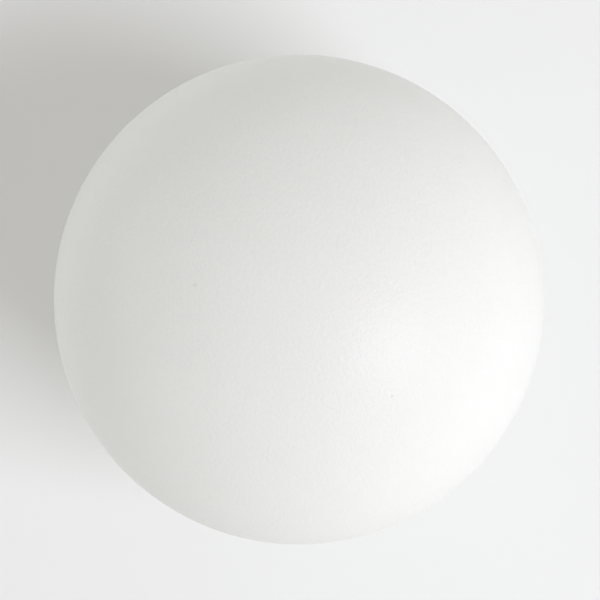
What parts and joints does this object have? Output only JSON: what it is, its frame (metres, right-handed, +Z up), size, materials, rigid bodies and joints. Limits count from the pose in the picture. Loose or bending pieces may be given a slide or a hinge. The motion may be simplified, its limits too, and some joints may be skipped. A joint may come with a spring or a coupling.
{
  "type": "cue ball",
  "caption": "White cue ball, modelled as the kind that a magnet in the table returns: a cast resin cover over a filled resin core with nested steel hoops. The inside is a guess.",
  "frame": {"origin": "centre of the ball", "axes": "+Z straight up when the ball lies on the table; the outer hoop runs round Z, the middle hoop round X and the inner hoop round Y"},
  "size_m": [0.0572, 0.0572, 0.0572],
  "materials": {
    "white_resin": "satin, with a fine orange peel",
    "filled_resin": "cast, dull, with mineral filler",
    "strip_steel": "cold rolled, tumbled"
  },
  "bodies": {
    "root": {"cover": "white_resin", "core": "filled_resin", "outer_hoop": "strip_steel", "middle_hoop": "strip_steel", "inner_hoop": "strip_steel"}
  },
  "joints": []
}
